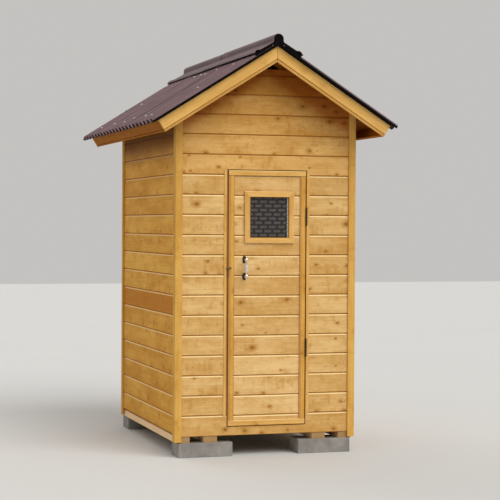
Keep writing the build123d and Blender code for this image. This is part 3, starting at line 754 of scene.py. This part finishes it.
class CABIN_OT_stage(bpy.types.Operator):
    """Pale floor, soft lights and the camera"""
    bl_idname = "cabin.stage"
    bl_label = "Stage"

    def execute(self, context):
        bpy.ops.object.select_all(action="DESELECT")
        bpy.ops.mesh.primitive_plane_add(size=60)
        ground = context.object
        ground.name = "stage_floor"
        ground.data.materials.append(floor_paint("pale floor"))

        world = bpy.data.worlds.new("studio")
        world.use_nodes = True
        sky = world.node_tree.nodes["Background"]
        sky.inputs["Color"].default_value = (1.0, 0.985, 0.96, 1)
        sky.inputs["Strength"].default_value = 0.55
        context.scene.world = world

        def soft_sun(name, toward, power, tint):
            bpy.ops.object.light_add(type="SUN")
            lamp = context.object
            lamp.name = name
            lamp.data.angle = radians(50)
            lamp.data.energy = power
            lamp.data.color = tint
            lamp.rotation_euler = Vector(toward).to_track_quat("Z", "Y").to_euler()

        soft_sun("front light", (0.25, -0.62, 0.74), 2.4, (1.0, 0.985, 0.96))
        soft_sun("rear light", (-0.3, 0.8, 0.5), 0.7, (1.0, 0.97, 0.93))

        yaw, pitch, roll = (radians(angle) for angle in CAMERA_TURN)
        forward = Vector((sin(yaw) * cos(pitch), cos(yaw) * cos(pitch), sin(pitch)))
        right = Vector((cos(yaw), -sin(yaw), 0))
        down = forward.cross(right)
        leaned_right = cos(roll) * right + sin(roll) * down
        leaned_down = -sin(roll) * right + cos(roll) * down
        bpy.ops.object.camera_add()
        camera = context.object
        camera.name = "photo camera"
        camera.data.sensor_width = SENSOR_WIDTH
        camera.data.lens = FOCAL_PIXELS / PHOTO_PIXELS * SENSOR_WIDTH
        turn = Matrix((leaned_right, -leaned_down, -forward)).transposed().to_4x4()
        turn.translation = Vector(CAMERA_PLACE)
        camera.matrix_world = turn
        context.scene.camera = camera
        context.scene.view_settings.view_transform = "Standard"
        return {"FINISHED"}


class CABIN_OT_blocks(bpy.types.Operator):
    """Four cast blocks with worn edges, in place of the plain ones"""
    bl_idname = "cabin.blocks"
    bl_label = "Concrete Blocks"

    def execute(self, context):
        dice = random.Random(11)
        low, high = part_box("blocks")
        worn_edge = 0.004
        unevenness = 0.0004
        made = []
        for left in (low.x, high.x - BLOCK_LENGTH):
            for front in (low.y, high.y - BLOCK_WIDTH):
                piece = block((left, front, 0),
                              (left + BLOCK_LENGTH, front + BLOCK_WIDTH, high.z))
                edit(piece, select="SELECT")
                bpy.ops.mesh.bevel(offset=worn_edge, segments=2, affect="EDGES")
                bpy.ops.mesh.select_all(action="SELECT")
                bpy.ops.mesh.subdivide(number_cuts=5)
                mesh = bmesh.from_edit_mesh(piece.data)
                for vertex in mesh.verts:
                    if worn_edge < vertex.co.z < high.z - worn_edge:
                        push = Vector((dice.uniform(-1, 1), dice.uniform(-1, 1), 0))
                        vertex.co += push * unevenness
                bmesh.update_edit_mesh(piece.data)
                leave()
                made.append(piece)
        dress(join("cast_blocks", made), cast_concrete("cast concrete"), "cabin", "concrete",
              "blocks")
        return {"FINISHED"}


def gable_cuts(piece):
    """Cut a board under both slopes of the roof boards."""
    for side in (-1, 1):
        point = (0, 0, slope_line(-ROOF_BOARD, 0))
        slice_off(piece, point, (side * sin(ROOF_SLOPE), 0, cos(ROOF_SLOPE)))


def wall_boards(name, run_low, run_high, base, top, thickness, matrix, dice, gable=False,
                slope_at=None, deep_boards=()):
    """Wall of horizontal boards in its own frame, placed whole."""
    made = []
    for count, (low, high) in enumerate(courses(base, top)):
        square = high >= top - SLACK and (gable or slope_at is not None)
        piece = board((run_low, 0, low), (run_high, thickness, high), sizes().chamfer,
                      0 if square else sizes().upper_chamfer)
        if gable and high > slope_line(-ROOF_BOARD, max(abs(run_low), abs(run_high))):
            gable_cuts(piece)
        if slope_at is not None and high > slope_line(-ROOF_BOARD, slope_at):
            slice_off(piece, (0, 0, slope_line(-ROOF_BOARD, slope_at)),
                      (0, -sin(ROOF_SLOPE), cos(ROOF_SLOPE)))
        grain(piece, dice)
        if count in deep_boards:
            for value in piece.data.attributes["tone"].data:
                value.value = 1.5
        made.append(piece)
    wall = join(name, made)
    place(wall, matrix)
    return wall


class CABIN_OT_side_walls(bpy.types.Operator):
    """Left and right walls, board by board"""
    bl_idname = "cabin.side_walls"
    bl_label = "Side Walls"

    def execute(self, context):
        thickness = SIDE_HIGH.x - SIDE_LOW.x
        outer = -SIDE_LOW.x
        for side, end, tint, deep_boards in ((-1, "left", SIDE_PAINTED_SHADE_TINT, (6,)),
                                             (1, "right", FAR_PAINTED_SHADE_TINT, (3, 10))):
            dice = random.Random(31 + side)
            run = (SIDE_LOW.y, SIDE_HIGH.y) if side > 0 else (-SIDE_HIGH.y, -SIDE_LOW.y)
            matrix = axes((side * outer, 0, 0), (0, side, 0), (-side, 0, 0))
            wall = wall_boards(end + "_wall_boards", run[0], run[1], SIDE_LOW.z, SIDE_HIGH.z,
                               thickness, matrix, dice, slope_at=outer, deep_boards=deep_boards)
            finish = stained(f"stained {end} boards", knots=0.55, tint=tint, figure=0.7,
                             marks=EAVES_PAINTED_SHADE)
            dress(wall, finish, "cabin", "stained_boards", end + "_wall")
        return {"FINISHED"}


class CABIN_OT_rear_wall(bpy.types.Operator):
    """Rear wall and its gable, board by board"""
    bl_idname = "cabin.rear_wall"
    bl_label = "Rear Wall"

    def execute(self, context):
        matrix = axes((0, REAR_HIGH.y, 0), (-1, 0, 0), (0, -1, 0))
        wall = wall_boards("rear_wall_boards", REAR_LOW.x, REAR_HIGH.x, REAR_LOW.z,
                           REAR_HIGH.z, REAR_HIGH.y - REAR_LOW.y, matrix, random.Random(57),
                           gable=True)
        dress(wall, stained("stained rear boards", tint=FAR_PAINTED_SHADE_TINT, marks=GABLE_PAINTED_SHADE), "cabin",
              "stained_boards", "rear_wall")
        return {"FINISHED"}


class CABIN_OT_front_wall(bpy.types.Operator):
    """Front boards beside and over the door, with the notched ones"""
    bl_idname = "cabin.front_wall"
    bl_label = "Front Wall"

    def execute(self, context):
        finish = stained("stained front boards", tint=(0.96, 1.0, 1.03))
        thickness = FRONT_HIGH.y - FRONT_LOW.y
        matrix = axes((0, FRONT_LOW.y, 0), (1, 0, 0), (0, 1, 0))
        right_low, right_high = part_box("front_wall_right")
        left = wall_boards("front_left_boards", FRONT_LOW.x, FRONT_HIGH.x, FRONT_LOW.z,
                           FRONT_HIGH.z, thickness, matrix, random.Random(71))
        right = wall_boards("front_right_boards", right_low.x, right_high.x, FRONT_LOW.z,
                            FRONT_HIGH.z, thickness, matrix, random.Random(72))
        dress(left, finish, "cabin", "stained_boards", "front_wall_left")
        dress(right, finish, "cabin", "stained_boards", "front_wall_right")

        dice = random.Random(74)
        sill = board((SILL_LOW.x, 0, SILL_LOW.z), (SILL_HIGH.x, thickness, SILL_HIGH.z),
                     sizes().trim_chamfer, sizes().upper_chamfer)
        cut_out(sill, (OPENING_LEFT, -0.01, OPENING_BASE),
                (OPENING_RIGHT, thickness + 0.01, SILL_HIGH.z + 0.01))
        grain(sill, dice, 0.7)
        place(sill, matrix)
        sill.name = "front_sill"
        dress(sill, finish, "cabin", "stained_boards", "front_sill_board")

        made = []
        for count, (low, high) in enumerate(courses(GABLE_LOW.z, GABLE_HIGH.z)):
            piece = board((GABLE_LOW.x, 0, low), (GABLE_HIGH.x, thickness, high),
                          sizes().chamfer, 0 if high > GABLE_HIGH.z - SLACK else
                          sizes().upper_chamfer)
            if low < OPENING_TOP:
                cut_out(piece, (CASING_LOW.x, -0.01, low - 0.01),
                        (CASING_HIGH.x, thickness + 0.01, OPENING_TOP))
            if high > slope_line(-ROOF_BOARD, GABLE_HIGH.x):
                gable_cuts(piece)
            grain(piece, dice, 0.2 * count + dice.uniform(0.0, 0.4))
            made.append(piece)
        gable = join("front_gable_boards", made)
        place(gable, matrix)
        dress(gable, stained("stained gable boards", tint=GABLE_PAINTED_SHADE_TINT, marks=GABLE_PAINTED_SHADE,
                             painted_highlight=0.08), "cabin", "stained_boards", "front_gable")
        return {"FINISHED"}


class CABIN_OT_peak_shade(bpy.types.Operator):
    """Painted shade: a black piece in the open triangle under the peak, between the rafters, on the
    top board of each gable
    """
    bl_idname = "cabin.underlay"
    bl_label = "Gable Peak Shade"

    def execute(self, context):
        made = []
        half_width = 0.15
        front, back = 0.002, 0.006  # distances behind the boards' face
        tuck = 0.004  # down into the top board
        for level, along in ((FRONT_LOW.y, 1), (REAR_HIGH.y, -1)):
            piece = block((-half_width, front, GABLE_HIGH.z - tuck),
                          (half_width, back, PEAK_TIP + 0.02))
            for side in (-1, 1):
                slice_off(piece, (0, 0, PEAK_TIP),
                          (side * sin(ROOF_SLOPE), 0, cos(ROOF_SLOPE)))
            place(piece, axes((0, level, 0), (along, 0, 0), (0, along, 0)))
            made.append(piece)
        dress(join("gable_peak_shade", made), foam("painted peak shade"), "cabin", "dark_filler")
        return {"FINISHED"}


class CABIN_OT_floor(bpy.types.Operator):
    """Floor planks over the joists"""
    bl_idname = "cabin.floor"
    bl_label = "Floor Planks"

    def execute(self, context):
        dice = random.Random(83)
        count = sizes().floor_count
        width = (FLOOR_HIGH.y - FLOOR_LOW.y) / count
        depth = FLOOR_HIGH.z - FLOOR_LOW.z
        edge = 0.0015
        made = []
        for step in range(count):
            low = FLOOR_LOW.y + step * width
            piece = board((FLOOR_LOW.x, 0, low), (FLOOR_HIGH.x, depth, low + width), edge)
            grain(piece, dice)
            made.append(piece)
        planks = join("floor_planks", made)
        place(planks, axes((0, 0, FLOOR_HIGH.z), (1, 0, 0), (0, 0, -1)))
        dress(planks, sawn("planed floor planks"), "cabin", "bare_timber", "floor_boards")
        return {"FINISHED"}


class CABIN_OT_roof_planks(bpy.types.Operator):
    """Planks under the roof sheets, running from front to rear"""
    bl_idname = "cabin.roof_planks"
    bl_label = "Roof Planks"

    def execute(self, context):
        count = sizes().soffit_count
        reach = 0.97
        past_ridge = 0.02  # cut off again at the ridge
        edge = 0.004
        width = reach / count
        finish = stained("stained roof planks", tint=SOFFIT_PAINTED_SHADE_TINT)
        for side, name in ((-1, "roof_boards_left"), (1, "roof_boards_right")):
            dice = random.Random(97 + side)
            run = (SOFFIT_LOW.y, SOFFIT_HIGH.y) if side > 0 else (-SOFFIT_HIGH.y, -SOFFIT_LOW.y)
            made = []
            for step in range(count):
                start = -past_ridge if step == 0 else step * width
                piece = board((run[0], 0, start), (run[1], ROOF_BOARD, (step + 1) * width),
                              edge)
                grain(piece, dice)
                made.append(piece)
            origin = on_slope(0, -ROOF_BOARD, side)
            up = (side * sin(ROOF_SLOPE), 0, cos(ROOF_SLOPE))
            planks = join(name + "_planks", made)
            place(planks, axes(origin, (0, side, 0), up))
            slice_off(planks, (0, 0, RIDGE_LEVEL), (-side, 0, 0))
            dress(planks, finish, "cabin", "bare_timber", name)
        return {"FINISHED"}


class CABIN_OT_door(bpy.types.Operator):
    """Door boards round the window, with their stiles and rails"""
    bl_idname = "cabin.door"
    bl_label = "Door"

    def execute(self, context):
        finish = stained("stained door boards", tint=(1.0, 1.06, 1.16))
        thickness = DOOR_HIGH.y - DOOR_LOW.y
        dice = random.Random(103)
        step = sizes().course
        thinnest = 0.002  # a lower strip than this is left out
        made = []
        level = COURSE_BASE - DOOR_DROP
        while level < DOOR_HIGH.z:
            low, high = max(level, DOOR_LOW.z), min(level + step, DOOR_HIGH.z)
            level += step
            if high - low < thinnest:
                continue
            piece = board((DOOR_LOW.x, 0, low), (DOOR_HIGH.x, thickness, high), sizes().chamfer,
                          sizes().upper_chamfer)
            if low < PANE_HIGH.z and high > PANE_LOW.z:
                cut_out(piece, (PANE_LOW.x, -0.01, PANE_LOW.z),
                        (PANE_HIGH.x, thickness + 0.01, PANE_HIGH.z))
            grain(piece, dice)
            made.append(piece)
        boards = join("door_boards", made)
        place(boards, axes((0, DOOR_LOW.y, 0), (1, 0, 0), (0, 1, 0)))
        dress(boards, finish, "door", "stained_boards", "door_panel")

        trim = stained("stained door stiles", knots=0.5, tint=STILE_TINT, figure=0.7,
                       marks=stile_edge)
        depth = STILE_HIGH.y - STILE_LOW.y
        made = []
        for left in (STILE_LOW.x, STILE_HIGH.x - STILE_WIDTH):
            piece = board((STILE_LOW.z, 0, -left - STILE_WIDTH), (STILE_HIGH.z, depth, -left),
                          sizes().trim_chamfer)
            # Painted shade on the stiles' side faces, in the gap round the door
            grain(piece, dice, 0.45, painted_shade_sides=True)
            made.append(piece)
        stiles = join("door_stile_boards", made)
        place(stiles, axes((0, STILE_LOW.y, 0), (0, 0, 1), (0, 1, 0)))
        dress(stiles, trim, "door", "stained_trim", "door_stiles")

        depth = RAIL_HIGH.y - RAIL_LOW.y
        made = []
        for low in (RAIL_LOW.z, RAIL_HIGH.z - RAIL_HEIGHT):
            piece = board((RAIL_LOW.x, 0, low), (RAIL_HIGH.x, depth, low + RAIL_HEIGHT),
                          sizes().trim_chamfer)
            grain(piece, dice, 0.2)
            made.append(piece)
        rails = join("door_rail_boards", made)
        place(rails, axes((0, RAIL_LOW.y, 0), (1, 0, 0), (0, 1, 0)))
        dress(rails, stained("stained door rails", knots=0.5, tint=RAIL_TINT, figure=0.5),
              "door", "stained_trim", "door_rails")
        return {"FINISHED"}


class CABIN_OT_window(bpy.types.Operator):
    """Mitred trim round the window, and the putty beside the pane"""
    bl_idname = "cabin.window"
    bl_label = "Window Trim"

    def execute(self, context):
        middle = (TRIM_LOW + TRIM_HIGH) / 2
        half = (TRIM_HIGH.x - TRIM_LOW.x) / 2
        inner = (PANE_HIGH.x - PANE_LOW.x) / 2
        depth = TRIM_HIGH.y - TRIM_LOW.y
        dice = random.Random(113)
        made = []
        for quarter in range(4):
            bar = board((-half, 0, inner), (half, depth, half), sizes().trim_chamfer)
            slice_off(bar, (inner, 0, inner), (1, 0, -1))
            slice_off(bar, (-inner, 0, inner), (-1, 0, -1))
            grain(bar, dice, (0.1, 0.45, 0.1, 0.6)[quarter])
            spin = Matrix.Translation((middle.x, TRIM_LOW.y, middle.z)) \
                @ Matrix.Rotation(quarter * pi / 2, 4, "Y")
            place(bar, spin)
            made.append(bar)
        trim = join("window_trim_bars", made)
        dress(trim, stained("stained window trim", knots=0.4, tint=RAIL_TINT, figure=0.5),
              "door", "stained_trim", "window_trim")

        putty = block((PANE_HIGH.x - PUTTY_WIDTH, DOOR_LOW.y + 0.002, PANE_LOW.z),
                      (PANE_HIGH.x, PANE_LOW.y, PANE_HIGH.z))
        putty.name = "window_putty"
        dress(putty, glazing_putty("glazing putty"), "door", "pane")
        return {"FINISHED"}


class CABIN_OT_handle(bpy.types.Operator):
    """Cream sleeve round the middle of the pull handle"""
    bl_idname = "cabin.handle"
    bl_label = "Handle Sleeve"

    def execute(self, context):
        middle = (GRIP_LOW + GRIP_HIGH) / 2
        axis_y = GRIP_LOW.y + (GRIP_HIGH.x - GRIP_LOW.x) / 2
        bpy.ops.object.select_all(action="DESELECT")
        sleeve_length = 0.047
        bpy.ops.mesh.primitive_cylinder_add(vertices=40, radius=0.0139, depth=sleeve_length,
                                            location=(middle.x, axis_y, middle.z))
        sleeve = context.object
        bpy.ops.object.transform_apply(location=True, rotation=True, scale=True)
        top, bottom = middle.z + sleeve_length / 2, middle.z - sleeve_length / 2

        def rim(a, b):
            return abs(a.z - b.z) < 1e-6 and (abs(a.z - top) < 1e-4 or abs(a.z - bottom) < 1e-4)

        select_edges(sleeve, rim)
        bpy.ops.mesh.bevel(offset=0.002, segments=3, affect="EDGES")
        leave()
        bpy.ops.object.shade_smooth_by_angle(angle=radians(40))
        sleeve.name = "handle_sleeve"
        dress(sleeve, cream_plastic("cream plastic"), "door", "bright_metal")
        return {"FINISHED"}


class CABIN_OT_roof_laps(bpy.types.Operator):
    """Second layer of sheet along each lap, copied from the sheet below"""
    bl_idname = "cabin.roof_laps"
    bl_label = "Sheet Laps"

    def execute(self, context):
        for side, node in ((-1, "roof_sheet_left"), (1, "roof_sheet_right")):
            made = []
            for start in LAP_STARTS:
                strip = bpy.data.objects.new("lap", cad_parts[node].data.copy())
                context.collection.objects.link(strip)
                edit(strip, select="SELECT")
                bpy.ops.mesh.remove_doubles(threshold=CLOSE)
                leave()
                slice_off(strip, (0, start, 0), (0, -1, 0))
                slice_off(strip, (0, start + sizes().lap_width, 0), (0, 1, 0))
                edit(strip, select="SELECT")
                bpy.ops.transform.translate(value=(side * sin(ROOF_SLOPE) * LAP_LIFT, 0,
                                                   cos(ROOF_SLOPE) * LAP_LIFT))
                leave()
                made.append(strip)
            laps = join(node + "_laps", made)
            turn = (0, -side * ROOF_SLOPE, 0)
            dress(laps, roof_felt("roof lap " + ("left", "right")[side > 0], turn), "cabin",
                  "roof_sheet")
        return {"FINISHED"}


class CABIN_OT_roof_edges(bpy.types.Operator):
    """Black pieces at the roof's front and rear ends: painted shade inside the sheets' waves, and
    fillers under the ridge cap's flanges
    """
    bl_idname = "cabin.roof_edges"
    bl_label = "Roof Edges"

    def execute(self, context):
        for side, end in ((-1, "left"), (1, "right")):
            seat = axes((0, 0, RIDGE_LEVEL), (side * cos(ROOF_SLOPE), 0, -sin(ROOF_SLOPE)),
                        (0, side, 0))
            made = []
            for level, out in ((SHEET_LOW.y, -1), (SHEET_HIGH.y, 1)):
                for start, stop, low, high, inner, outer in (SHEET_SHADE_FILLER, FLANGE_FILLER):
                    near, far = sorted(side * (level + out * past) for past in (inner, outer))
                    filler = block((start, near, low), (stop, far, high))
                    place(filler, seat)
                    made.append(filler)
            dress(join("roof_painted_shade_and_fillers_" + end, made), foam("roof painted shade and filler " + end), "cabin",
                  "dark_filler")
        return {"FINISHED"}


class CABIN_OT_roof_nails(bpy.types.Operator):
    """Capped nails on the crests of the sheets, in three rows on each slope"""
    bl_idname = "cabin.roof_nails"
    bl_label = "Roof Nails"

    def execute(self, context):
        radius = sizes().nail_radius
        bpy.ops.object.select_all(action="DESELECT")
        bpy.ops.mesh.primitive_cylinder_add(vertices=10, radius=radius, depth=0.005,
                                            location=(0, 0, 0.0015))
        nail = context.object
        bpy.ops.object.transform_apply(location=True, rotation=True, scale=True)
        mesh = edit(nail, "FACE")
        for face in mesh.faces:
            face.select_set(face.normal.z > 0.9)
        bmesh.update_edit_mesh(nail.data)
        bpy.ops.mesh.inset(thickness=radius * 0.35, depth=0.0025)
        bpy.ops.mesh.inset(thickness=radius * 0.25, depth=0.0012)
        leave()
        pitch = (SHEET_HIGH.y - SHEET_LOW.y) / WAVE_COUNT
        dice = random.Random(127)
        made = []
        for side in (-1, 1):
            for row, along in enumerate(NAIL_ROWS):
                for wave in range(row % 2, WAVE_COUNT, 2):
                    if dice.random() < NAILS_MISSING:
                        continue
                    y = SHEET_LOW.y + pitch * (wave + 0.25)
                    spot = on_slope(along + dice.uniform(-0.025, 0.025), CREST_LEVEL, side)
                    spot.y = y + dice.uniform(-0.002, 0.002)
                    twin = copy_of(nail)
                    place(twin, Matrix.Translation(spot)
                          @ Matrix.Rotation(side * ROOF_SLOPE, 4, "Y"))
                    made.append(twin)
        bpy.data.objects.remove(nail)
        nails = join("roof_nail_caps", made)
        bpy.ops.object.shade_smooth_by_angle(angle=radians(50))
        dress(nails, metal("nail caps", (0.44, 0.39, 0.34), 0.0, 0.6, (0.16, 0.10, 0.10), 0.9,
                           30.0), "cabin", "roof_sheet")
        return {"FINISHED"}


class CABIN_OT_finishes(bpy.types.Operator):
    """Materials for the solids that stay as they are"""
    bl_idname = "cabin.finishes"
    bl_label = "Finishes"

    def execute(self, context):
        along_x = sawn("sawn timber across", RUN_X)
        # Painted light: the plates that run from front to rear get a lighter copy of the sawn timber,
        # to lift them on the cabin's dimly lit sides
        along_y_painted_light = sawn("sawn plates front to rear", RUN_Y, bright=1.25)
        finishes = {
            stained("stained corner trim", RUN_Z, 0.25, 0.5, POST_TINT, 0.5):
                ["corner_trim_front_left", "corner_trim_front_right",
                 "corner_trim_rear_left", "corner_trim_rear_right"],
            stained("stained casings", RUN_Z, 0.25, 0.5, RAIL_TINT, 0.5, casing_edge_painted_shade):
                ["door_casings"],
            sawn("sawn posts", RUN_Z): ["wall_posts"],
            sawn("sawn joists", RUN_Y, bright=1.75, marks=end_grain): ["floor_joists"],
            stained("stained upright battens", RUN_Z, 0.6, 0.6): ["door_stop",
                                                                 "door_back_battens"],
            along_x: ["bottom_plates_end", "top_plates_end", "door_header", "threshold"],
            along_y_painted_light: ["bottom_plates_side", "top_plates_side"],
            stained("stained fascia", RUN_Y, 0.5, 0.5, FASCIA_PAINTED_SHADE_TINT, 0.6):
                ["fascia_left", "fascia_right"],
            foam("black foam"): ["ridge_closures"],
            roof_felt("ridge cap felt", RUN_Y, CAP_LAP): ["ridge_cap"],
            metal("dark hinge steel", (0.035, 0.028, 0.024), 0.6, 0.45, (0.12, 0.05, 0.02), 0.5):
                ["door_hinges", "frame_hinges"],
            metal("polished steel", (0.80, 0.74, 0.66), 1.0, 0.14, (0.62, 0.56, 0.48), 0.2):
                ["handle_grip"],
            metal("satin black", (0.012, 0.012, 0.013), 0.2, 0.42, (0.05, 0.05, 0.055), 0.25):
                ["handle_rosettes"],
            metal("dull latch steel", (0.12, 0.10, 0.085), 0.6, 0.5, (0.07, 0.04, 0.025), 0.7):
                ["turn_latch", "latch_screw"],
            patterned_glass("patterned pane"): ["window_pane"],
        }
        for side, end in ((-1, "left"), (1, "right")):
            turn = (0, -side * ROOF_SLOPE, 0)
            barge = stained("stained bargeboard " + end, turn, 0.2, 0.3, BARGE_TINT, 0.3,
                            bargeboard_mitre_and_painted_shade)
            finishes[barge] = ["bargeboard_front_" + end, "bargeboard_rear_" + end]
            rafters = stained("stained rafters " + end, turn, 0.5, 0.6, SOFFIT_PAINTED_SHADE_TINT)
            finishes[rafters] = ["rafters_" + end]
            finishes[roof_felt("roof sheet " + end, turn)] = ["roof_sheet_" + end]
        for material, nodes in finishes.items():
            for name in nodes:
                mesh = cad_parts[name].data
                mesh.materials.clear()
                mesh.materials.append(material)
        return {"FINISHED"}


PIECES = (
    CABIN_OT_stage, CABIN_OT_blocks, CABIN_OT_side_walls, CABIN_OT_rear_wall,
    CABIN_OT_front_wall, CABIN_OT_peak_shade, CABIN_OT_floor, CABIN_OT_roof_planks,
    CABIN_OT_door, CABIN_OT_window, CABIN_OT_handle, CABIN_OT_roof_laps, CABIN_OT_roof_edges,
    CABIN_OT_roof_nails, CABIN_OT_finishes,
)


class CABIN_PT_pieces(bpy.types.Panel):
    """Pieces of the cabin in the 3D view's sidebar"""
    bl_idname = "CABIN_PT_pieces"
    bl_label = "Shower Cabin"
    bl_space_type = "VIEW_3D"
    bl_region_type = "UI"
    bl_category = "Shower Cabin"

    def draw(self, context):
        column = self.layout.column()
        for group in (context.scene.cabin_sizes, context.scene.cabin_colours):
            for name in group.__annotations__:
                column.prop(group, name)
        for piece in PIECES:
            column.operator(piece.bl_idname)


CLASSES = (CabinSizes, CabinColours) + PIECES + (CABIN_PT_pieces,)


def register():
    for item in CLASSES:
        bpy.utils.register_class(item)
    bpy.types.Scene.cabin_sizes = bpy.props.PointerProperty(type=CabinSizes)
    bpy.types.Scene.cabin_colours = bpy.props.PointerProperty(type=CabinColours)


def unregister():
    del bpy.types.Scene.cabin_colours
    del bpy.types.Scene.cabin_sizes
    for item in reversed(CLASSES):
        bpy.utils.unregister_class(item)


def main():
    register()
    for piece in PIECES:
        category, name = piece.bl_idname.split(".")
        getattr(getattr(bpy.ops, category), name)()


if __name__ == "__main__":
    main()
